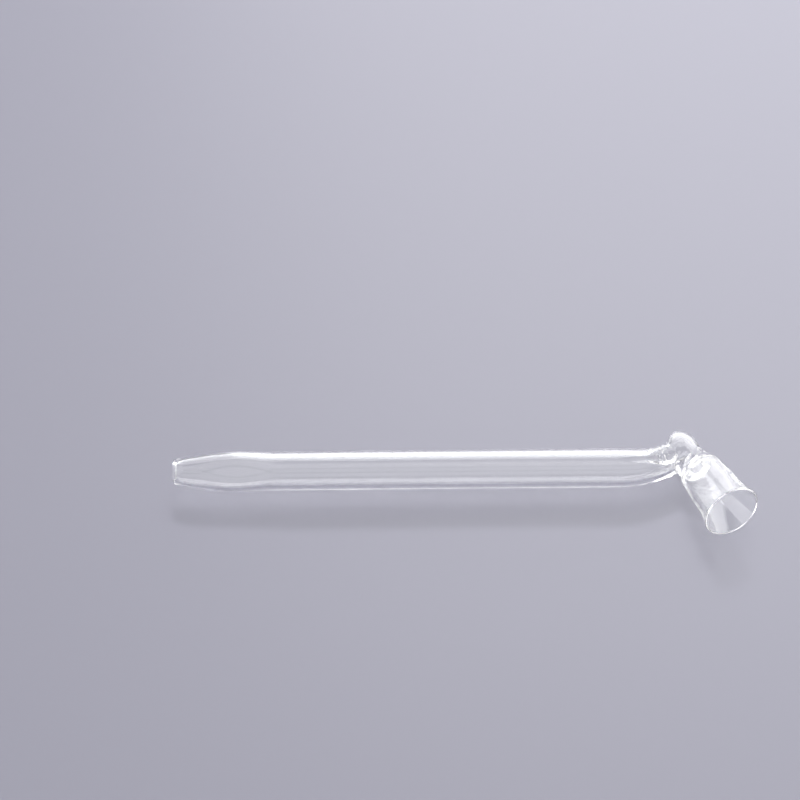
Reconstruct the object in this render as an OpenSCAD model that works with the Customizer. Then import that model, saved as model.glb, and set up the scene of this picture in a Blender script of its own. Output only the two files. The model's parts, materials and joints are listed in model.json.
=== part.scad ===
// Bent-cup glass pipe: a straight glass tube with a pressed mouthpiece at one end
// and, past a sharply bent neck, a flared cup at the other. One blown piece,
// lying on its side. Millimetres, +Z up.

/* [Tube] */
// Outside diameter of the straight tube
tube_od = 8; // [6.5:0.1:10]
// Wall of the straight tube
tube_wall = 1.1; // [0.7:0.05:1.5]
// Length of the straight tube, between the mouthpiece and the neck
tube_length = 70.2; // [40:0.1:140]

/* [Mouthpiece] */
// Length of the shaped mouthpiece, from the lip to the plain tube
mouth_length = 21.5; // [17:0.5:30]
// Distance of the flattest place from the lip
press_distance = 13; // [9:0.5:15]
// Width across the pressed place
press_width = 8.4; // [7.5:0.1:10]
// Thickness between the two pressed faces
press_thickness = 6.4; // [5:0.1:7.5]
// Length of the pressed faces
press_length = 14; // [10:0.5:16]
// Turn of the pressed faces about the tube, from the plane of the bend
press_turn = 59; // [0:1:90]
// Wall of the mouthpiece
press_wall = 0.6; // [0.5:0.05:1]
// Outside diameter of the lip
lip_od = 5; // [4:0.1:6.5]
// Wall at the lip, thickened by fire polishing
lip_wall = 0.95; // [0.6:0.05:1.4]
// Length of the thickened lip
bead_length = 1.6; // [1:0.1:4]

/* [Neck] */
// Angle that the neck leans back from the tube before the bend
neck_lean = 29; // [15:1:45]
// Length, along the tube, over which the neck comes to lean
lean_length = 9.7; // [7:0.1:16]
// Length of the leaning leg, between the lean and the bend
leg_length = 0.3; // [0.2:0.1:6]
// Outside diameter of the leaning leg
neck_od = 6.9; // [5.5:0.1:7.6]
// How much more the neck narrows on its crotch side, from 0 for evenly to 1 for that side alone
narrowing_bias = 0.2; // [0:0.1:1]
// Wall on the outside of the neck
neck_wall = 1.1; // [0.8:0.05:1.4]
// Width of the flat bore where the neck is pinched, across the bend
pinch_bore = 4.2; // [1:0.1:4.6]
// Bore through the floor of the cup
floor_bore = 1.8; // [1:0.1:3]
// Radius inside the crotch of the bend
crotch_radius = 0.5; // [0.3:0.05:1.5]
// How far the outside of the bend swells past its legs
hump_height = 3.8; // [2:0.1:5]
// Turn, from the leaning leg, at which the swelling peaks
hump_turn = 34; // [28:1:50]
// Turn before its peak over which the swelling rises
hump_rise = 25; // [16:1:34]
// Turn after its peak over which the swelling dies away
hump_fall = 45; // [35:1:60]
// Bore inside the swelling, across the bend
hump_bore = 7; // [3:0.1:7.6]
// Wall of the swelling
hump_wall = 1.1; // [0.8:0.1:2]
// Outside diameter of the throat, where the bend meets the cup
throat_od = 7.4; // [6:0.1:8]

/* [Cup] */
// Angle between the cup's axis and the tube's
cup_angle = 65.6; // [50:0.1:75]
// How far the cup's axis lies outside the throat's
cup_offset = 0.2; // [0:0.1:1]
// Length of the cup, from its shoulder to its rim
cup_length = 15; // [13:0.1:24]
// Diameter at which the cup's taper starts, at its shoulder
shoulder_od = 8.6; // [8:0.1:11]
// Rounding of the shoulder
shoulder_radius = 2.8; // [1.6:0.1:3]
// Diameter halfway along
waist_od = 10.1; // [8.4:0.1:11]
// Diameter of the flared rim
rim_od = 12.1; // [11:0.1:15]
// Wall of the cup at its shoulder
cup_wall = 0.8; // [0.6:0.05:1.2]
// Wall of the cup at its rim
rim_wall = 0.4; // [0.3:0.05:0.8]
// Thickness of the cup's floor, over the throat
floor_thickness = 1.8; // [1.4:0.1:3]
// Rounding inside the cup, where its floor meets its wall
bowl_radius = 3; // [1:0.1:3.2]

/* [Hidden] */
$fn = 96;

// Sides of a lofted ring, and rings in each lofted stretch
sides = 36;
lip_rings = 3;
mouth_rings = 14;
lean_rings = 8;
bend_rings = 26;
cup_steps = 12;
arc_steps = 5;
// Rounds in which the roll of the resting pipe settles
rest_rounds = 12;
// How far a lofted end reaches into its neighbour, and how much it is drawn in there
lap = 0.8;
lap_step = 0.02;
// How far a cut runs past an open end
overcut = 2;
// Sharpness of the corner where a round section meets a pressed face
press_power = 8;
// Height that the bore keeps in the pinch, and how much of its closing is gradual
pinch_height = 0.2;
gradual_share = 0.1;

tube_r = tube_od / 2;
bore_r = tube_r - tube_wall;
neck_r = neck_od / 2;
throat_r = throat_od / 2;
rim_r = rim_od / 2;
rim_round = rim_wall * 0.45;
lip_round = lip_wall * 0.4;
neck_start = mouth_length + tube_length;
bend_turn = neck_lean + cup_angle;

// Points and directions in the plane of the bend, which is XY: the tube runs along +X,
// the neck leans to +Y and the cup opens to -Y.
function heading(angle) = [cos(angle), sin(angle), 0];
function left_of(angle) = heading(angle + 90);
function mix(a, b, t) = a + (b - a) * t;
function ease(t) = t * t * (3 - 2 * t);
function pressed(height, flat) = height / pow(1 + pow(abs(height / flat), press_power), 1 / press_power);

// A ring of points round centre, half_across wide along the flat direction across and
// half_up high along up.
function ring(centre, across, half_across, up, half_up) = [
    for (i = [0 : sides - 1])
        let (turn = 360 * i / sides)
        centre + across * half_across * cos(turn) + up * half_up * sin(turn)
];

function moved(points, by) = [for (p = points) p + by];

// A closed solid through a list of rings.
module loft(rings) {
    last = len(rings) - 1;
    sides_faces = [
        for (r = [0 : last - 1], i = [0 : sides - 1])
            let (j = (i + 1) % sides, a = r * sides, b = a + sides)
            each [[a + i, b + j, a + j], [a + i, b + i, b + j]]
    ];
    first_cap = [for (i = [0 : sides - 1]) i];
    last_cap = [for (i = [sides - 1 : -1 : 0]) last * sides + i];
    polyhedron(
        points = [for (r = rings) each r],
        faces = concat([first_cap, last_cap], sides_faces),
        convexity = 6
    );
}

// Mouthpiece. It widens from the lip to the pressed place, then turns into the round tube.
function past_press(distance) = ease((distance - press_distance) / (mouth_length - press_distance));
function mouth_r(distance) =
    distance <= press_distance
        ? mix(lip_od, press_width, sin(90 * distance / press_distance)) / 2
        : mix(press_width, tube_od, past_press(distance)) / 2;
// Half the distance between the pressed faces, which leave the round section past their ends
function mouth_flat(distance) =
    let (away = abs(distance - press_distance) / (press_length / 2))
    away < 1
        ? mouth_r(distance) - (press_width - press_thickness) / 2 * (1 - away * away)
        : mouth_r(distance) * (3 * away - 2);
function mouth_wall(distance) =
    distance <= press_distance
        ? mix(lip_wall, press_wall, ease(min(1, distance / bead_length)))
        : mix(press_wall, tube_wall, past_press(distance));
function mouth_ring(distance, inset) = [
    for (i = [0 : sides - 1])
        let (
            turn = 360 * i / sides,
            radius = mouth_r(distance) - inset,
            height = pressed(radius * sin(turn), mouth_flat(distance) - inset)
        )
        [
            distance,
            radius * cos(turn) * cos(press_turn) - height * sin(press_turn),
            radius * cos(turn) * sin(press_turn) + height * cos(press_turn)
        ]
];
// How far the lip's rounding takes the surface in, close to the end
function lip_inset(distance) =
    distance >= lip_round ? 0 : lip_round - sqrt(lip_round * lip_round - pow(lip_round - distance, 2));

mouth_places = concat(
    [for (i = [0 : lip_rings]) lip_round * (1 - cos(90 * i / lip_rings))],
    [for (i = [1 : mouth_rings]) mix(lip_round, mouth_length, i / mouth_rings)]
);

function mouth_body_ring(distance) = mouth_ring(distance, lip_inset(distance) + lap_step);
function mouth_bore_ring(distance) =
    mouth_ring(distance, mouth_wall(distance) - lip_inset(distance) + lap_step);

mouth_body_rings = concat(
    [for (d = mouth_places) mouth_body_ring(d)],
    [moved(mouth_body_ring(mouth_length), [lap, 0, 0])]
);
mouth_bore_rings = concat(
    [moved(mouth_bore_ring(0), [-overcut, 0, 0])],
    [for (d = mouth_places) mouth_bore_ring(d)],
    [moved(mouth_bore_ring(mouth_length), [lap, 0, 0])]
);

// Neck. It leans back on a cubic, runs straight for a leg and then fans about the crotch.
function lean_r(t) = mix(tube_r - lap_step, neck_r, ease(t));
function lean_angle(t) = atan(tan(neck_lean) * t * t);
function lean_centre(t) =
    [neck_start + lean_length * t, lean_length * tan(neck_lean) * pow(t, 3) / 3, 0]
        + left_of(lean_angle(t)) * narrowing_bias * (tube_r - lap_step - lean_r(t));
bend_start = lean_centre(1) + heading(neck_lean) * leg_length;
crotch = bend_start - left_of(neck_lean) * (neck_r + crotch_radius);
bend_end = crotch + left_of(-cup_angle) * (throat_r + crotch_radius);
cup_base = bend_end + left_of(-cup_angle) * cup_offset;
cup_heading = heading(-cup_angle);
// How far the throat runs into the floor of the cup
throat_seat = floor_thickness * 0.8;

// Share of the swelling that a place round the bend has
function swell(t) =
    let (past = bend_turn * t - hump_turn, away = past / (past < 0 ? hump_rise : hump_fall))
    abs(away) < 1 ? pow(cos(90 * away), 2) : 0;
function bend_reach(t) = crotch_radius + mix(neck_od, throat_od, t) + hump_height * swell(t);
function bend_half_up(t) = mix(neck_r, throat_r, pow(t, 3));

function lean_body_ring(t) =
    ring(lean_centre(t), left_of(lean_angle(t)), lean_r(t), [0, 0, 1], lean_r(t));
// The bore is squeezed flat towards the bend, and keeps to the outside of the lean
function closing(t) = gradual_share * t + (1 - gradual_share) * ease(max(0, 2 * t - 1));
function lean_bore_ring(t) =
    let (
        room = lean_r(t) - mix(tube_wall, neck_wall, t),
        half_across = mix(room, pinch_bore / 2, closing(t)),
        out = left_of(lean_angle(t))
    )
    ring(
        lean_centre(t) + out * (room - half_across),
        out, half_across,
        [0, 0, 1], mix(room, room * pinch_height, closing(t))
    );

// A ring round the bend, whose outer side lies inset from the outside of the glass
function bend_ring(t, inset, half_across, half_up) = ring(
    crotch + left_of(neck_lean - bend_turn * t) * (bend_reach(t) - inset - half_across),
    left_of(neck_lean - bend_turn * t), half_across,
    [0, 0, 1], half_up
);
function bend_body_ring(t) = bend_ring(t, 0, (bend_reach(t) - crotch_radius) / 2, bend_half_up(t));
// The pinched bore opens into the swelling, then closes to the hole in the cup's floor
function bend_bore_ring(t) =
    let (
        rising = bend_turn * t < hump_turn,
        open = rising ? ease(bend_turn * t / hump_turn) : swell(t),
        room = bend_half_up(t) - neck_wall,
        narrow_wall = rising ? neck_wall : (bend_reach(t) - crotch_radius - floor_bore) / 2,
        narrow_bore = rising ? pinch_bore : floor_bore,
        narrow_half_up = rising ? room * pinch_height : floor_bore / 2
    )
    bend_ring(
        t,
        mix(narrow_wall, hump_wall, open),
        mix(narrow_bore, hump_bore, open) / 2,
        mix(narrow_half_up, room, open)
    );
neck_body_rings = concat(
    [moved(lean_body_ring(0), [-lap, 0, 0])],
    [for (i = [0 : lean_rings]) lean_body_ring(i / lean_rings)],
    [for (i = [0 : bend_rings]) bend_body_ring(i / bend_rings)],
    [moved(bend_body_ring(1), cup_heading * throat_seat)]
);
neck_bore_rings = concat(
    [moved(lean_bore_ring(0), [-lap, 0, 0])],
    [for (i = [0 : lean_rings]) lean_bore_ring(i / lean_rings)],
    [for (i = [0 : bend_rings]) bend_bore_ring(i / bend_rings)],
    [moved(bend_bore_ring(1), cup_heading * (floor_thickness + overcut))]
);

// Cup. A turned profile along its axis, from the shoulder at 0 to the rim at cup_length.
function cup_outer_r(along) =
    let (t = along / cup_length)
    t < 0.5
        ? mix(shoulder_od, waist_od, t * 2) / 2
        : mix(waist_od, rim_od, pow(t * 2 - 1, 2)) / 2;
function cup_inner_r(along) = cup_outer_r(along) - mix(cup_wall, rim_wall, along / cup_length);
function arc(centre, radius, from, to) = [
    for (i = [0 : arc_steps])
        let (turn = mix(from, to, i / arc_steps))
        centre + radius * [cos(turn), sin(turn)]
];

rim_start = cup_length - rim_round;
cup_wall_places = [for (i = [0 : cup_steps]) mix(shoulder_radius, rim_start, i / cup_steps)];
cup_outline = concat(
    [[0, 0]],
    arc([cup_outer_r(shoulder_radius) - shoulder_radius, shoulder_radius], shoulder_radius, -90, 0),
    [for (i = [1 : cup_steps - 1]) [cup_outer_r(cup_wall_places[i]), cup_wall_places[i]]],
    arc([rim_r - rim_round, rim_start], rim_round, 0, 90),
    [[0, cup_length]]
);
hollow_start = floor_thickness + bowl_radius;
hollow_places = [for (i = [0 : cup_steps]) mix(hollow_start, rim_start, i / cup_steps)];
cup_hollow = concat(
    [[0, floor_thickness]],
    arc([cup_inner_r(hollow_start) - bowl_radius, hollow_start], bowl_radius, -90, 0),
    [for (i = [1 : cup_steps - 1]) [cup_inner_r(hollow_places[i]), hollow_places[i]]],
    arc([rim_r - rim_wall + rim_round, rim_start], rim_round, 180, 90),
    [[rim_r - rim_wall + rim_round, cup_length + overcut], [0, cup_length + overcut]]
);

module place_cup() {
    translate(cup_base) rotate([0, 0, -cup_angle]) rotate([0, 90, 0]) children();
}

// Rest. The pipe rolls about its tube until the rim comes down to the same level as
// the lowest of the tube, its shaped ends and the cup's shoulder.
rim_centre = cup_base + cup_heading * rim_start;
shaped_points = [for (r = concat(mouth_body_rings, neck_body_rings)) each r];
function height(point, roll) = point.z * cos(roll) - point.y * sin(roll);
function depth(point, roll) = point.y * cos(roll) + point.z * sin(roll);
function cup_low(along, roll) =
    height(cup_base + cup_heading * along, roll)
        - cup_outer_r(along) * sqrt(1 - pow(sin(cup_angle) * sin(roll), 2));
// How far the rim reaches from its centre, in a direction whose share along the cup's axis is facing
function rim_reach(facing) = (rim_r - rim_round) * sqrt(1 - facing * facing) + rim_round;
function floor_level(roll) = min(
    -tube_r,
    min([for (p = shaped_points) height(p, roll)]),
    min([for (along = cup_wall_places) if (along < cup_length / 2) cup_low(along, roll)])
);
function roll_to_rest(roll, rounds) =
    rounds < 1 ? roll : roll_to_rest(
        asin((rim_reach(sin(cup_angle) * sin(roll)) + floor_level(roll)) / -rim_centre.y),
        rounds - 1
    );
rest_roll = roll_to_rest(0, rest_rounds);

// Corners of the box round the resting pipe, so that the origin is under its middle
box_front = depth(rim_centre, rest_roll) - rim_reach(sin(cup_angle) * cos(rest_roll));
box_back = max([for (p = shaped_points) depth(p, rest_roll)]);
box_end = rim_centre.x + rim_reach(cos(cup_angle));

module glass_pipe() {
    color([0.93, 0.96, 0.97, 0.35])
    translate([-box_end / 2, -(box_front + box_back) / 2, -floor_level(rest_roll)])
    rotate([-rest_roll, 0, 0])
    difference() {
        union() {
            translate([mouth_length, 0, 0]) rotate([0, 90, 0]) cylinder(r = tube_r, h = tube_length);
            loft(mouth_body_rings);
            loft(neck_body_rings);
            place_cup() rotate_extrude() polygon(cup_outline);
        }
        translate([mouth_length, 0, 0]) rotate([0, 90, 0]) cylinder(r = bore_r, h = tube_length);
        loft(mouth_bore_rings);
        loft(neck_bore_rings);
        place_cup() rotate_extrude() polygon(cup_hollow);
    }
}

glass_pipe();
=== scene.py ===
"""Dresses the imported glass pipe: one clear blown piece, a pale table, soft back light and the camera."""

import json
from collections import namedtuple
from math import acos, asin, atan, cos, pi, radians, sin, sqrt, tan

import bmesh
import bpy
from bpy.props import FloatProperty, FloatVectorProperty, IntProperty, PointerProperty
from mathutils import Matrix, Vector, noise


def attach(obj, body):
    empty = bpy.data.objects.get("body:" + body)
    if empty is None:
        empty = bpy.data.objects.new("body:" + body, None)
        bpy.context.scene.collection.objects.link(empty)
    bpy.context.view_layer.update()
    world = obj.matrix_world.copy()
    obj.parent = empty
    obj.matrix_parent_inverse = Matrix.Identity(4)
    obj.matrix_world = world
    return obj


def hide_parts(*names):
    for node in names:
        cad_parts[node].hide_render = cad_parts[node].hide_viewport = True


bl_info = {
    "name": "Glass Pipe",
    "version": (1, 0, 0),
    "blender": (4, 5, 0),
    "location": "View3D > Sidebar > Glass Pipe",
    "description": "Blows a clear glass pipe with a bent cup and lays it on a lit table",
    "category": "Add Mesh",
}

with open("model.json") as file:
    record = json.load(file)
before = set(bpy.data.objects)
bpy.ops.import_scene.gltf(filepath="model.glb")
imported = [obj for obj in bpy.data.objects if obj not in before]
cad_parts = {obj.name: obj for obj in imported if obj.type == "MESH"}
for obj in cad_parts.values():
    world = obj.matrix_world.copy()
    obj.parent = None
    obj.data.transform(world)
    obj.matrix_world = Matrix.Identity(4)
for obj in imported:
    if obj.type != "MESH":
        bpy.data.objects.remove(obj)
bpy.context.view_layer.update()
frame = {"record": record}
STEM_MIDDLE = Vector(frame["record"]["mounts"][0]["pos_m"])
MM = 0.001
UP = Vector((0, 0, 1))
TO_RIGHT = Vector((1, 0, 0))
TO_BACK = Vector((0, 1, 0))
SETTLING_ROUNDS = 12
SEAM_DISTANCE = 1e-7
RIPPLE_SEED = 1

# One loop of the skin: an oval of half_across by half_up round centre, whose axes are turned by phase from
# the plane of the bend. It may be pressed to the half height flat, dented by a share of its height over a
# spread of its width, and made uneven by ripple.
Ring = namedtuple(
    "Ring",
    "centre across half_across up half_up flat phase ripple dent spread",
    defaults=(1, 0, 0, 0, 1),
)
# What each vertex carries for the glass: its turn and its place along, and how little it shades the table
Layers = namedtuple("Layers", "draw clear")


def length(name, default_mm, description):
    """A size in metres, from its value in millimetres."""
    return FloatProperty(
        name=name, description=description, default=default_mm * MM, min=0, unit="LENGTH", precision=5
    )


def turn(name, default_degrees, description):
    """An angle in radians, from its value in degrees."""
    default = radians(default_degrees)
    return FloatProperty(name=name, description=description, default=default, subtype="ANGLE")


def share(name, default, description, most=1.0):
    """A plain factor."""
    return FloatProperty(name=name, description=description, default=default, min=0, max=most)


def count(name, default, description, least=1):
    """A whole number."""
    return IntProperty(name=name, description=description, default=default, min=least)


def colour(name, default, description):
    """A linear colour."""
    return FloatVectorProperty(
        name=name, description=description, default=default, min=0, max=1, size=3, subtype="COLOR"
    )


class TubeSizes(bpy.types.PropertyGroup):
    """The straight tube and its pressed mouthpiece."""

    od: length("Outside diameter", 8, "Across the straight tube")
    wall: length("Wall", 0.95, "Wall of the straight tube")
    run: length("Length", 70.2, "Straight tube between the mouthpiece and the neck")
    mouth_run: length("Mouthpiece", 21.5, "From the lip to the plain tube")
    press_at: length("Pressed place", 13, "From the lip to the flattest place")
    press_width: length("Pressed width", 8.4, "Across the pressed place")
    press_height: length("Pressed thickness", 6.4, "Between the two pressed faces")
    press_run: length("Pressed length", 14, "Length of the pressed faces")
    press_turn: turn("Turn", 59, "Turn of the pressed faces from the plane of the bend")
    press_edge: share("Pressed edge", 8, "How sharply the pressed faces end at the round sides", 20)
    press_wall: length("Pressed wall", 0.6, "Wall of the mouthpiece")
    lip_od: length("Lip", 5, "Outside diameter of the lip")
    lip_wall: length("Lip wall", 0.95, "Wall at the fire-polished lip")
    lip_rounding: share("Lip rounding", 0.4, "Radius of the lip's edges, as a share of its wall")
    lip_bead: length("Lip bead", 1.6, "Length of the thickened lip")


class NeckSizes(bpy.types.PropertyGroup):
    """The neck that leans back, swells and bends into the cup."""

    lean: turn("Lean", 29, "How far the neck leans back from the tube")
    lean_run: length("Lean length", 9.7, "Length along the tube over which the neck comes to lean")
    leg: length("Leg", 0.3, "Leaning leg before the bend")
    od: length("Outside diameter", 6.9, "Across the leaning leg")
    bias: share("Bias", 0.2, "How much more the neck narrows on its crotch side")
    wall: length("Wall", 1.1, "Wall on the outside of the neck")
    dent: share("Dent", 0.8, "Share of its height that the bore loses in the middle of the pinch")
    dent_shift: share("Dent shift", 0.3, "Dent's place towards the crotch, in half widths of the bore")
    dent_start: share("Dent start", 0.25, "Reach of the dent where it begins, in half widths of the bore")
    dent_reach: share("Dent reach", 0.8, "Reach of the dent in the pinch, in half widths of the bore")
    gradual: share("Gradual closing", 0.2, "Share of the bore's closing that is gradual")
    ripple: length("Ripple", 0.42, "Unevenness of the pinched glass")
    ripple_grain: length("Ripple grain", 1 / 2.8, "Distance between ripples")
    drop: turn("Drop", 25, "Turn before the cup over which the bore closes to the hole")
    hole: length("Hole", 2.6, "Bore through the floor of the cup")
    crotch: length("Crotch radius", 0.5, "Inside radius of the bend")
    hump: length("Hump", 3.8, "How far the outside of the bend swells")
    hump_turn: turn("Hump turn", 34, "Turn from the leaning leg to the peak of the swelling")
    hump_rise: turn("Hump rise", 25, "Turn before its peak over which the swelling rises")
    hump_fall: turn("Hump fall", 45, "Turn after its peak over which the swelling dies away")
    hump_bore: length("Hump bore", 7, "Bore inside the swelling, across the bend")
    hump_wall: length("Hump wall", 1.1, "Wall of the swelling")
    throat: length("Throat", 7.4, "Outside diameter where the bend meets the cup")


class CupSizes(bpy.types.PropertyGroup):
    """The flared cup."""

    angle: turn("Angle", 65.6, "Between the cup's axis and the tube's")
    offset: length("Offset", 0.2, "Cup's axis outside the throat's")
    run: length("Length", 15, "From the shoulder to the rim")
    shoulder: length("Shoulder", 8.6, "Diameter at which the taper starts, at the shoulder")
    shoulder_radius: length("Shoulder radius", 2.8, "Rounding of the shoulder")
    waist: length("Waist", 10.1, "Diameter halfway along")
    rim: length("Rim", 12.1, "Diameter of the flared rim")
    wall: length("Wall", 0.8, "Wall at the shoulder")
    rim_wall: length("Rim wall", 0.4, "Wall at the rim")
    rim_rounding: share("Rim rounding", 0.45, "Radius of the rim's edges, as a share of its wall")
    floor: length("Floor", 0.9, "Thickness of the cup's floor")
    bowl_radius: length("Bowl radius", 2.6, "Rounding inside the cup, where its floor meets its wall")


class MeshFineness(bpy.types.PropertyGroup):
    """How finely the skin is divided."""

    sides: count("Sides", 96, "Sides of every ring", 24)
    tube_steps: count("Tube steps", 8, "Rings along the straight tube")
    mouth_steps: count("Mouth steps", 36, "Rings along the mouthpiece", 4)
    lean_steps: count("Lean steps", 80, "Rings round the lean", 4)
    bend_steps: count("Bend steps", 72, "Rings round the bend", 8)
    cup_steps: count("Cup steps", 28, "Rings along the cup", 4)
    arc_steps: count("Arc steps", 8, "Rings round a rounded edge", 3)


class GlassLook(bpy.types.PropertyGroup):
    """The clear glass."""

    tint: colour("Tint", (0.994, 0.998, 0.996), "Colour of light through the glass")
    ior: share("IOR", 1.47, "Index of refraction of hard glass", 2.5)
    polish: share("Roughness", 0.0, "Roughness of the fire-polished skin")
    handled: share("Handled roughness", 0.03, "Roughness where the glass has been handled")
    draw_depth: length("Draw lines", 0.004, "Height of the faint lines that drawing leaves along the tube")
    shade: share("Shade", 0.42, "Light that the top of the glass lets through in its shadow")
    cup_clearness: share("Cup clearness", 0.75, "How little the cup's thin wall shades the table")


class StageLook(bpy.types.PropertyGroup):
    """The table, the lights and the camera."""

    table: colour("Table", (0.35, 0.346, 0.42), "Colour of the pale table")
    table_half: length("Table size", 4000, "Half the width of the table")
    gloss: share("Table roughness", 0.35, "Roughness of the table's satin face")
    panel_level: share("Panel level", 3.3, "Radiance of the broad panel behind", 50)
    side_level: share("Side level", 2.2, "Radiance of the card on the left, which adds no matt light", 50)
    top_level: share("Top level", 0.7, "Radiance of the card overhead, which adds no matt light", 50)
    front_level: share("Front level", 0.8, "Radiance of the card in front, which adds no matt light", 50)
    lamp_level: share("Lamp level", 195.0, "Radiance of the compact lamp behind, which casts the shadow", 500)
    room_level: share("Room level", 0.36, "Radiance of the room", 10)
    bounces: count("Bounces", 64, "Turns that light may take on its way through the glass")
    aim: FloatVectorProperty(
        name="Aim",
        description="Point in the middle of the picture",
        default=(-0.012747, 0.021645, 0.004258),
        size=3,
        subtype="TRANSLATION",
        unit="LENGTH",
        precision=6,
    )
    azimuth: turn("Azimuth", -0.698, "Camera's turn about the object")
    elevation: turn("Elevation", 50, "Camera's height above the table, as an angle")
    distance: length("Distance", 673, "Camera to the aimed point")
    lens: share("Lens", 144.7, "Focal length in millimetres", 500)
    sensor: share("Sensor", 36, "Width of the camera's sensor in millimetres", 100)


def mix(a, b, t):
    """The value t of the way from a to b."""
    return a + (b - a) * t


def ease(t):
    """A smooth step from 0 to 1."""
    return t * t * (3 - 2 * t)


def steps(number):
    """Shares from 0 to 1 in equal steps."""
    return [i / number for i in range(number + 1)]


def heading(angle):
    """A direction in the plane of the bend."""
    return Vector((cos(angle), sin(angle), 0))


def left_of(angle):
    """The direction to the left of a heading."""
    return heading(angle + pi / 2)


class Plan:
    """Places along the pipe, before it is laid down: the tube runs along +X from the lip, the neck
    leans to +Y and the cup opens to -Y."""

    def __init__(self, tube, neck, cup, fineness):
        self.tube = tube
        self.neck = neck
        self.cup = cup
        self.fineness = fineness
        self.neck_start = tube.mouth_run + tube.run
        self.bend_turn = neck.lean + cup.angle
        self.lip_round = tube.lip_wall * tube.lip_rounding
        self.rim_round = cup.rim_wall * cup.rim_rounding
        bend_start = self.lean_centre(1) + heading(neck.lean) * neck.leg
        self.crotch = bend_start - left_of(neck.lean) * (neck.od / 2 + neck.crotch)
        bend_end = self.crotch + left_of(-cup.angle) * (neck.throat / 2 + neck.crotch)
        self.cup_base = bend_end + left_of(-cup.angle) * cup.offset

    # Mouthpiece and tube

    def mouth_radius(self, at):
        """Half the width of the mouthpiece, from the lip through the pressed place to the plain tube."""
        tube = self.tube
        if at <= tube.press_at:
            return mix(tube.lip_od, tube.press_width, sin(pi / 2 * at / tube.press_at)) / 2
        return mix(tube.press_width, tube.od, self.past_press(at)) / 2

    def past_press(self, at):
        """Share of the way from the pressed place to the plain tube."""
        tube = self.tube
        return ease((at - tube.press_at) / (tube.mouth_run - tube.press_at))

    def mouth_flat(self, at):
        """Half the distance between the pressed faces, past the skin where they have run out."""
        tube = self.tube
        away = abs(at - tube.press_at) / (tube.press_run / 2)
        if away < 1:
            return self.mouth_radius(at) - (tube.press_width - tube.press_height) / 2 * (1 - away**2)
        return self.mouth_radius(at) * (3 * away - 2)

    def mouth_wall(self, at):
        """Wall of the mouthpiece: thick at the lip, thin where it is pressed, and then the tube's."""
        tube = self.tube
        if at <= tube.press_at:
            return mix(tube.lip_wall, tube.press_wall, ease(min(1, at / tube.lip_bead)))
        return mix(tube.press_wall, tube.wall, self.past_press(at))

    def lip_inset(self, at):
        """How far the lip's rounding takes the skin in, close to the end."""
        if at >= self.lip_round:
            return 0
        return self.lip_round - sqrt(self.lip_round**2 - (self.lip_round - at) ** 2)

    def mouth_ring(self, at, inset):
        """A ring of the mouthpiece, turned with its pressed faces."""
        turned = self.tube.press_turn
        across = Vector((0, cos(turned), sin(turned)))
        up = TO_RIGHT.cross(across)
        radius = self.mouth_radius(at) - inset
        flat = self.mouth_flat(at) - inset
        return Ring(Vector((at, 0, 0)), across, radius, up, radius, flat, turned)

    def mouth_places(self):
        """Distances of the mouthpiece's rings from the lip, close together on its rounding."""
        lip = [self.lip_round * (1 - cos(pi / 2 * t)) for t in steps(self.fineness.arc_steps)]
        body = [mix(self.lip_round, self.tube.mouth_run, t) for t in steps(self.fineness.mouth_steps)]
        return lip + body[1:]

    def mouth_skin(self):
        return [self.mouth_ring(at, self.lip_inset(at)) for at in self.mouth_places()]

    def mouth_bore(self):
        return [self.mouth_ring(at, self.mouth_wall(at) - self.lip_inset(at)) for at in self.mouth_places()]

    def tube_rings(self, radius):
        """Rings strictly between the ends of the straight tube."""
        places = [mix(self.tube.mouth_run, self.neck_start, t) for t in steps(self.fineness.tube_steps)[1:-1]]
        return [Ring(Vector((at, 0, 0)), left_of(0), radius, UP, radius) for at in places]

    # Neck

    def lean_radius_at(self, t):
        return mix(self.tube.od, self.neck.od, ease(t)) / 2

    def lean_angle(self, t):
        return atan(tan(self.neck.lean) * t**2)

    def lean_centre(self, t):
        """Middle of the leaning neck, which narrows more on its crotch side."""
        run = self.neck.lean_run
        on_curve = Vector((self.neck_start + run * t, run * tan(self.neck.lean) * t**3 / 3, 0))
        narrowing = self.tube.od / 2 - self.lean_radius_at(t)
        return on_curve + left_of(self.lean_angle(t)) * self.neck.bias * narrowing

    def lean_ring(self, t, radius):
        return Ring(self.lean_centre(t), left_of(self.lean_angle(t)), radius, UP, radius)

    def lean_skin(self):
        return [self.lean_ring(t, self.lean_radius_at(t)) for t in steps(self.fineness.lean_steps)]

    def lean_bore(self):
        """The bore is dented along its middle towards the bend, and stays open along both sides."""
        neck = self.neck
        rings = []
        for t in steps(self.fineness.lean_steps):
            closing = mix(ease(max(0, 2 * t - 1)), t, neck.gradual)
            ring = self.lean_ring(t, self.lean_radius_at(t) - mix(self.tube.wall, neck.wall, t))
            spread = mix(neck.dent_start, neck.dent_reach, closing)
            rings.append(ring._replace(dent=neck.dent * closing, spread=spread, ripple=neck.ripple * t**3))
        return rings

    def swell(self, t):
        """Share of the swelling at a place round the bend."""
        past = self.bend_turn * t - self.neck.hump_turn
        away = past / (self.neck.hump_rise if past < 0 else self.neck.hump_fall)
        return cos(pi / 2 * away) ** 2 if abs(away) < 1 else 0

    def bend_reach(self, t):
        """From the middle of the bend to its outside."""
        return self.neck.crotch + mix(self.neck.od, self.neck.throat, t) + self.neck.hump * self.swell(t)

    def bend_half_up(self, t):
        return mix(self.neck.od, self.neck.throat, t**3) / 2

    def bend_ring(self, t, inset, half_across, half_up):
        """A ring round the bend, that far in from its outside."""
        out = left_of(self.neck.lean - self.bend_turn * t)
        centre = self.crotch + out * (self.bend_reach(t) - inset - half_across)
        return Ring(centre, out, half_across, UP, half_up)

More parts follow.
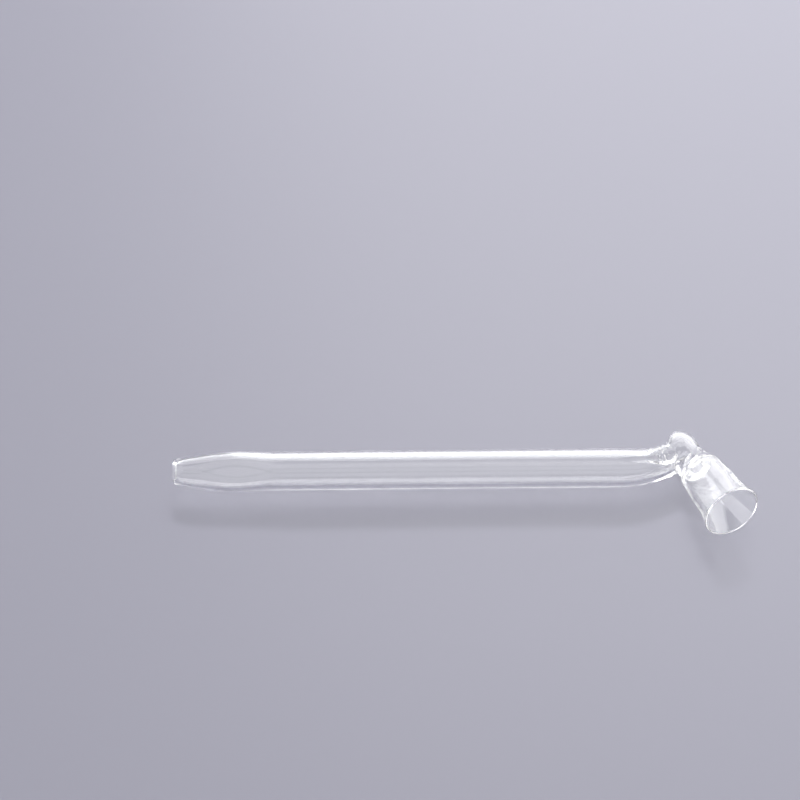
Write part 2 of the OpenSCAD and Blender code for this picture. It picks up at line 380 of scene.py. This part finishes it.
    def bend_skin(self):
        return [
            self.bend_ring(t, 0, (self.bend_reach(t) - self.neck.crotch) / 2, self.bend_half_up(t))
            for t in steps(self.fineness.bend_steps)
        ]

    def opening_bore(self, t):
        """Before the peak of the swelling, the pinched bore opens."""
        neck = self.neck
        opened = self.bend_turn * t / neck.hump_turn
        pinched = 1 - ease(opened)
        room = self.bend_half_up(t) - neck.wall
        ring = self.bend_ring(t, neck.hump_wall, mix(neck.hump_bore / 2, room, pinched), room)
        ripple = neck.ripple * (1 - opened)
        return ring._replace(dent=neck.dent * pinched, spread=neck.dent_reach, ripple=ripple)

    def closing_bore(self, t):
        """After it, the bore narrows along the outside of the bend and drops to the hole in the floor."""
        neck = self.neck
        closing = ease(max(0, 1 - self.bend_turn * (1 - t) / neck.drop))
        middle = (self.bend_reach(t) - neck.crotch - neck.hole) / 2
        half_across = mix(neck.hole, neck.hump_bore, self.swell(t)) / 2
        half_up = mix(self.bend_half_up(t) - neck.wall, neck.hole / 2, closing)
        return self.bend_ring(t, mix(neck.hump_wall, middle, closing), half_across, half_up)

    def bend_bore(self):
        peak = self.neck.hump_turn / self.bend_turn
        places = steps(self.fineness.bend_steps)
        return [self.opening_bore(t) if t < peak else self.closing_bore(t) for t in places]

    # Cup

    def cup_ring(self, along, radius):
        angle = self.cup.angle
        return Ring(self.cup_base + heading(-angle) * along, left_of(-angle), radius, UP, radius)

    def cup_outer(self, along):
        """Radius of the cup: a plain taper to the waist, and then a flare to the rim."""
        cup = self.cup
        halves = 2 * along / cup.run
        if halves < 1:
            return mix(cup.shoulder, cup.waist, halves) / 2
        return mix(cup.waist, cup.rim, (halves - 1) ** 2) / 2

    def cup_inner(self, along):
        return self.cup_outer(along) - mix(self.cup.wall, self.cup.rim_wall, along / self.cup.run)

    def cup_arc(self, centre_along, centre_radius, radius, from_turn, to_turn):
        """Rings round a rounded edge, whose turn is 0 outwards and 90 degrees towards the rim."""
        turns = [mix(from_turn, to_turn, t) for t in steps(self.fineness.arc_steps)]
        return [self.cup_ring(centre_along + radius * sin(a), centre_radius + radius * cos(a)) for a in turns]

    def cup_wall(self, start, radius_at):
        """Rings strictly between a shoulder and the rounding of the rim."""
        end = self.cup.run - self.rim_round
        places = [mix(start, end, t) for t in steps(self.fineness.cup_steps)[1:-1]]
        return [self.cup_ring(along, radius_at(along)) for along in places]

    def cup_skin(self):
        """The outside of the cup, from the crease where the neck meets its shoulder to its rim."""
        cup = self.cup
        bend = cup.shoulder_radius
        centre_radius = self.cup_outer(bend) - bend
        crease = -acos((self.neck.throat / 2 - centre_radius) / bend)
        rim_centre = cup.rim / 2 - self.rim_round
        return (
            self.cup_arc(bend, centre_radius, bend, crease, 0)
            + self.cup_wall(bend, self.cup_outer)
            + self.cup_arc(cup.run - self.rim_round, rim_centre, self.rim_round, 0, pi / 2)
        )

    def cup_hollow(self):
        """The inside of the cup, from its rim to its floor."""
        cup = self.cup
        bend = cup.bowl_radius
        start = cup.floor + bend
        corner = self.cup_inner(start) - bend
        rim_centre = cup.rim / 2 - cup.rim_wall + self.rim_round
        return (
            self.cup_arc(cup.run - self.rim_round, rim_centre, self.rim_round, pi / 2, pi)
            + self.cup_wall(start, self.cup_inner)[::-1]
            + self.cup_arc(start, corner, bend, 0, -pi / 2)
        )

    def hole(self):
        """The hole through the floor of the cup, from the bowl to the bend."""
        end = self.bend_bore()[-1]
        depths = [mix(self.cup.floor, 0, t) for t in steps(self.fineness.arc_steps)[:-1]]
        return [end._replace(centre=end.centre + heading(-self.cup.angle) * depth) for depth in depths]

    # Whole pipe

    def stem_skin(self):
        """The outside, from the lip to the cup."""
        return self.mouth_skin() + self.tube_rings(self.tube.od / 2) + self.lean_skin() + self.bend_skin()

    def lining(self):
        """The inside, from the rim back to the lip."""
        bore = self.mouth_bore() + self.tube_rings(self.tube.od / 2 - self.tube.wall) + self.lean_bore()
        return self.cup_hollow() + self.hole() + (bore + self.bend_bore())[::-1]

    def laid_down(self):
        """The move that lays the pipe on its side on the table, rolled until the cup's rim touches it."""
        cup = self.cup
        rim = self.cup_base + heading(-cup.angle) * (cup.run - self.rim_round)
        roll = 0
        for _ in range(SETTLING_ROUNDS):
            facing = sin(cup.angle) * sin(roll)
            reach = (cup.rim / 2 - self.rim_round) * sqrt(1 - facing**2) + self.rim_round
            roll = asin((reach - STEM_MIDDLE.z) / -rim.y)
        middle = Vector((self.tube.mouth_run + self.tube.run / 2, 0, 0))
        return Matrix.Translation(STEM_MIDDLE) @ Matrix.Rotation(-roll, 4, "X") @ Matrix.Translation(-middle)


def shaped(ring, plan, side, top):
    """Where a vertex of a ring lies, from its turn on a plain circle."""
    neck = plan.neck
    edge = plan.tube.press_edge
    across = side * cos(ring.phase) + top * sin(ring.phase)
    up = top * cos(ring.phase) - side * sin(ring.phase)
    dented = ring.dent * (1 - ease(min(1, abs(across + neck.dent_shift) / ring.spread)))
    height = up * ring.half_up * (1 - dented)
    height /= (1 + abs(height / ring.flat) ** edge) ** (1 / edge)
    place = ring.centre + ring.across * ring.half_across * across + ring.up * height
    uneven = noise.noise_vector(place / neck.ripple_grain) * ring.ripple * (1 - across**2)
    return place + ring.across * uneven.x + ring.up * uneven.y


def draw_out(bm, edges):
    """Extrudes a loop of edges and returns the new loop."""
    made = bmesh.ops.extrude_edge_only(bm, edges=edges)["geom"]
    verts = [item for item in made if isinstance(item, bmesh.types.BMVert)]
    fresh = set(verts)
    new_edges = [item for item in made if isinstance(item, bmesh.types.BMEdge)]
    return verts, [edge for edge in new_edges if fresh.issuperset(edge.verts)]


def blow(name, plan, cup_clearness):
    """One closed skin, drawn ring by ring along the outside and back through the bore."""
    # Unseeded, the noise that ripples the glass would differ from run to run
    noise.seed_set(RIPPLE_SEED)
    bm = bmesh.new()
    layers = Layers(bm.verts.layers.float_vector.new("draw"), bm.verts.layers.float.new("clear"))
    verts = bmesh.ops.create_circle(bm, segments=plan.fineness.sides, radius=1)["verts"]
    for vert in verts:
        vert[layers.draw] = vert.co
    loop = first_loop = bm.edges[:]
    rings = [(ring, 0) for ring in plan.stem_skin()]
    rings += [(ring, cup_clearness) for ring in plan.cup_skin()]
    rings += [(ring, 1) for ring in plan.lining()]
    along = 0
    before = None
    for ring, clear in rings:
        if before:
            verts, loop = draw_out(bm, loop)
            along += (ring.centre - before.centre).length
        before = ring
        for vert in verts:
            side, top, _ = vert[layers.draw]
            vert[layers.draw] = (side, top, along)
            vert[layers.clear] = clear
            vert.co = shaped(ring, plan, side, top)
    bmesh.ops.bridge_loops(bm, edges=first_loop + loop)
    bmesh.ops.remove_doubles(bm, verts=bm.verts[:], dist=SEAM_DISTANCE)
    bmesh.ops.transform(bm, matrix=plan.laid_down(), verts=bm.verts[:])
    bmesh.ops.recalc_face_normals(bm, faces=bm.faces[:])
    for face in bm.faces:
        face.smooth = True
    return linked(name, bm)


def linked(name, bm):
    """An object in the scene, made from a finished mesh."""
    mesh = bpy.data.meshes.new(name)
    bm.to_mesh(mesh)
    bm.free()
    piece = bpy.data.objects.new(name, mesh)
    bpy.context.scene.collection.objects.link(piece)
    return piece


def empty_material(name):
    """A material with no nodes yet, and its node tree."""
    material = bpy.data.materials.new(name)
    material.use_nodes = True
    material.node_tree.nodes.clear()
    return material, material.node_tree


def node(tree, kind, **values):
    """A shader node with its settings and unlinked inputs."""
    made = tree.nodes.new(kind)
    for name, value in values.items():
        if hasattr(made, name):
            setattr(made, name, value)
        else:
            made.inputs[name.replace("_", " ")].default_value = value
    return made


def ramp(tree, value, start, end, low, high):
    """A value between start and end, taken to one between low and high."""
    made = node(tree, "ShaderNodeMapRange", From_Min=start, From_Max=end, To_Min=low, To_Max=high)
    tree.links.new(value, made.inputs["Value"])
    return made.outputs["Result"]


def greater(tree, first, second):
    """The greater of two values."""
    made = node(tree, "ShaderNodeMath", operation="MAXIMUM")
    tree.links.new(first, made.inputs[0])
    tree.links.new(second, made.inputs[1])
    return made.outputs["Value"]


def mixed(tree, share_of_second, first, second):
    """The first surface, with the second in its place for a share of the rays."""
    made = node(tree, "ShaderNodeMixShader")
    tree.links.new(share_of_second, made.inputs[0])
    tree.links.new(first, made.inputs[1])
    tree.links.new(second, made.inputs[2])
    return made.outputs["Shader"]


def drawn_surface(tree, look):
    """Faint lines along the tube, left by drawing."""
    draw = node(tree, "ShaderNodeAttribute", attribute_name="draw")
    lines_at = node(tree, "ShaderNodeMapping", Scale=(9, 9, 12))
    tree.links.new(draw.outputs["Vector"], lines_at.inputs["Vector"])
    lines = node(tree, "ShaderNodeTexNoise", Scale=1.0, Detail=3.0, Roughness=0.55)
    tree.links.new(lines_at.outputs["Vector"], lines.inputs["Vector"])
    bump = node(tree, "ShaderNodeBump", Strength=1.0, Distance=look.draw_depth)
    tree.links.new(lines.outputs["Fac"], bump.inputs["Height"])
    return bump.outputs["Normal"]


def light_let_through(tree, where, look):
    """Light that passes to the table: all of it, but for what the top of the outer skin keeps back."""
    upright = node(tree, "ShaderNodeSeparateXYZ")
    tree.links.new(where.outputs["Normal"], upright.inputs["Vector"])
    # Shadow rays run from the table to the lamp. Where one leaves the glass, the normal is turned inwards, so
    # that it points down at the top of the pipe.
    top = ramp(tree, upright.outputs["Z"], start=-0.55, end=-1.0, low=1.0, high=look.shade)
    face = node(tree, "ShaderNodeNewGeometry")
    going_in = ramp(tree, face.outputs["Backfacing"], start=0.0, end=1.0, low=1.0, high=0.0)
    clear = node(tree, "ShaderNodeAttribute", attribute_name="clear")
    return greater(tree, top, greater(tree, going_in, clear.outputs["Fac"]))


def clear_glass(look):
    """Clear hard glass, with faint lines from drawing, handled places and a light shadow."""
    material, tree = empty_material("clear_glass")
    link = tree.links.new
    where = node(tree, "ShaderNodeTexCoord")
    smears = node(tree, "ShaderNodeTexNoise", Scale=420.0, Detail=4.0, Roughness=0.6)
    link(where.outputs["Object"], smears.inputs["Vector"])
    handled = ramp(tree, smears.outputs["Fac"], start=0.55, end=0.8, low=look.polish, high=look.handled)

    glass = node(tree, "ShaderNodeBsdfPrincipled", Metallic=0.0, IOR=look.ior)
    glass.inputs["Base Color"].default_value = (*look.tint, 1)
    glass.inputs["Transmission Weight"].default_value = 1.0
    link(handled, glass.inputs["Roughness"])
    link(drawn_surface(tree, look), glass.inputs["Normal"])

    shaded_glass = node(tree, "ShaderNodeBsdfTransparent")
    link(light_let_through(tree, where, look), shaded_glass.inputs["Color"])
    open_glass = node(tree, "ShaderNodeBsdfTransparent")
    path = node(tree, "ShaderNodeLightPath")
    shadow_ray = path.outputs["Is Shadow Ray"]
    for_lamps = mixed(tree, shadow_ray, glass.outputs["BSDF"], shaded_glass.outputs["BSDF"])
    for_table = mixed(tree, path.outputs["Is Diffuse Ray"], for_lamps, open_glass.outputs["BSDF"])
    surface = node(tree, "ShaderNodeOutputMaterial")
    link(for_table, surface.inputs["Surface"])
    return material


def satin_table(look):
    """A pale table top with a satin face and a trace of unevenness."""
    material, tree = empty_material("pale_table")
    link = tree.links.new
    where = node(tree, "ShaderNodeTexCoord")
    grain = node(tree, "ShaderNodeTexNoise", Scale=900.0, Detail=3.0)
    link(where.outputs["Object"], grain.inputs["Vector"])
    bump = node(tree, "ShaderNodeBump", Strength=0.15, Distance=0.02 * MM)
    link(grain.outputs["Fac"], bump.inputs["Height"])
    table = node(tree, "ShaderNodeBsdfPrincipled", Roughness=look.gloss)
    table.inputs["Base Color"].default_value = (*look.table, 1)
    table.inputs["Specular IOR Level"].default_value = 0.5
    link(bump.outputs["Normal"], table.inputs["Normal"])
    surface = node(tree, "ShaderNodeOutputMaterial")
    link(table.outputs["BSDF"], surface.inputs["Surface"])
    return material


def area_light(name, radiance, place, facing, width, height):
    """A flat white light with an even radiance, and its object."""
    light = bpy.data.lights.new(name, "AREA")
    light.shape = "RECTANGLE"
    light.size = width
    light.size_y = height
    light.energy = radiance * pi * width * height
    lamp = bpy.data.objects.new(name, light)
    lamp.location = place
    lamp.rotation_euler = facing.to_track_quat("-Z", "Y").to_euler()
    bpy.context.scene.collection.objects.link(lamp)
    return lamp


def set_lights(look):
    """A broad panel and a compact lamp behind, and cards all round that add no matt light."""
    area_light("back_panel", look.panel_level, (0.42, 0.62, 0.53), -TO_BACK, width=1.02, height=1.03)
    side = area_light("side_card", look.side_level, (-0.7, 0.35, 0.6), TO_RIGHT, width=2.1, height=1.15)
    top = area_light("top_card", look.top_level, (0, -0.55, 1.1), -UP, width=1.6, height=1.6)
    left = area_light("left_card", look.panel_level, (-0.35, 0.62, 0.53), -TO_BACK, width=0.52, height=1.03)
    front = area_light("front_card", look.front_level, (0, -1.5, 0.5), TO_BACK, width=2, height=1)
    lamp_at = Vector((0, 2.1, 1.63))
    lamp = area_light("back_lamp", look.lamp_level, lamp_at, -lamp_at, width=0.24, height=0.24)
    for card in (side, top, left, front):
        card.visible_diffuse = False
    # The card that goes on from the panel to the left is seen through the glass, but in no reflection
    left.visible_glossy = False
    lamp.visible_glossy = False
    lamp.visible_transmission = False


def set_room(scene, look):
    """An even, dim room."""
    scene.world = bpy.data.worlds.new("room")
    scene.world.use_nodes = True
    room = scene.world.node_tree.nodes["Background"]
    room.inputs["Color"].default_value = (1, 1, 1, 1)
    room.inputs["Strength"].default_value = look.room_level


def set_camera(scene, look):
    """The camera, turned to the aimed point."""
    flat = cos(look.elevation)
    away = Vector((sin(look.azimuth) * flat, -cos(look.azimuth) * flat, sin(look.elevation)))
    camera = bpy.data.objects.new("camera", bpy.data.cameras.new("camera"))
    camera.data.sensor_width = look.sensor
    camera.data.lens = look.lens
    camera.location = Vector(look.aim) + away * look.distance
    camera.rotation_euler = (-away).to_track_quat("-Z", "Y").to_euler()
    scene.collection.objects.link(camera)
    scene.camera = camera


class PIPE_OT_glass(bpy.types.Operator):
    """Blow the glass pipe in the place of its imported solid"""

    bl_idname = "pipe.blow_glass"
    bl_label = "Blow Glass"

    def execute(self, context):
        scene = context.scene
        plan = Plan(scene.pipe_tube, scene.pipe_neck, scene.pipe_cup, scene.pipe_fineness)
        piece = blow("blown_pipe", plan, scene.pipe_glass.cup_clearness)
        piece.data.materials.append(clear_glass(scene.pipe_glass))
        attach(piece, "root")
        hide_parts("glass_pipe")
        return {"FINISHED"}


class PIPE_OT_stage(bpy.types.Operator):
    """Set the table, the lights and the camera"""

    bl_idname = "pipe.set_stage"
    bl_label = "Set Stage"

    def execute(self, context):
        scene = context.scene
        look = scene.pipe_stage
        bm = bmesh.new()
        bmesh.ops.create_grid(bm, x_segments=1, y_segments=1, size=look.table_half)
        table = linked("table_top", bm)
        table.data.materials.append(satin_table(look))
        set_lights(look)
        set_room(scene, look)
        set_camera(scene, look)
        scene.view_settings.view_transform = "Standard"
        # Light that runs along inside the glass needs many turns to come out again
        scene.cycles.max_bounces = look.bounces
        scene.cycles.transmission_bounces = look.bounces
        scene.cycles.glossy_bounces = look.bounces
        return {"FINISHED"}


class PIPE_PT_sidebar(bpy.types.Panel):
    """Lists the steps and the sizes"""

    bl_label = "Glass Pipe"
    bl_space_type = "VIEW_3D"
    bl_region_type = "UI"
    bl_category = "Glass Pipe"

    def draw(self, context):
        for operator in (PIPE_OT_glass, PIPE_OT_stage):
            self.layout.operator(operator.bl_idname)
        for name in GROUPS:
            box = self.layout.box()
            group = getattr(context.scene, name)
            for prop in group.bl_rna.properties:
                if prop.identifier not in ("rna_type", "name"):
                    box.prop(group, prop.identifier)


GROUPS = {
    "pipe_tube": TubeSizes,
    "pipe_neck": NeckSizes,
    "pipe_cup": CupSizes,
    "pipe_fineness": MeshFineness,
    "pipe_glass": GlassLook,
    "pipe_stage": StageLook,
}
CLASSES = (*GROUPS.values(), PIPE_OT_glass, PIPE_OT_stage, PIPE_PT_sidebar)


def register():
    for cls in CLASSES:
        bpy.utils.register_class(cls)
    for name, group in GROUPS.items():
        setattr(bpy.types.Scene, name, PointerProperty(type=group))


def unregister():
    for name in GROUPS:
        delattr(bpy.types.Scene, name)
    for cls in reversed(CLASSES):
        bpy.utils.unregister_class(cls)


def main():
    register()
    bpy.ops.pipe.blow_glass()
    bpy.ops.pipe.set_stage()


if __name__ == "__main__":
    main()
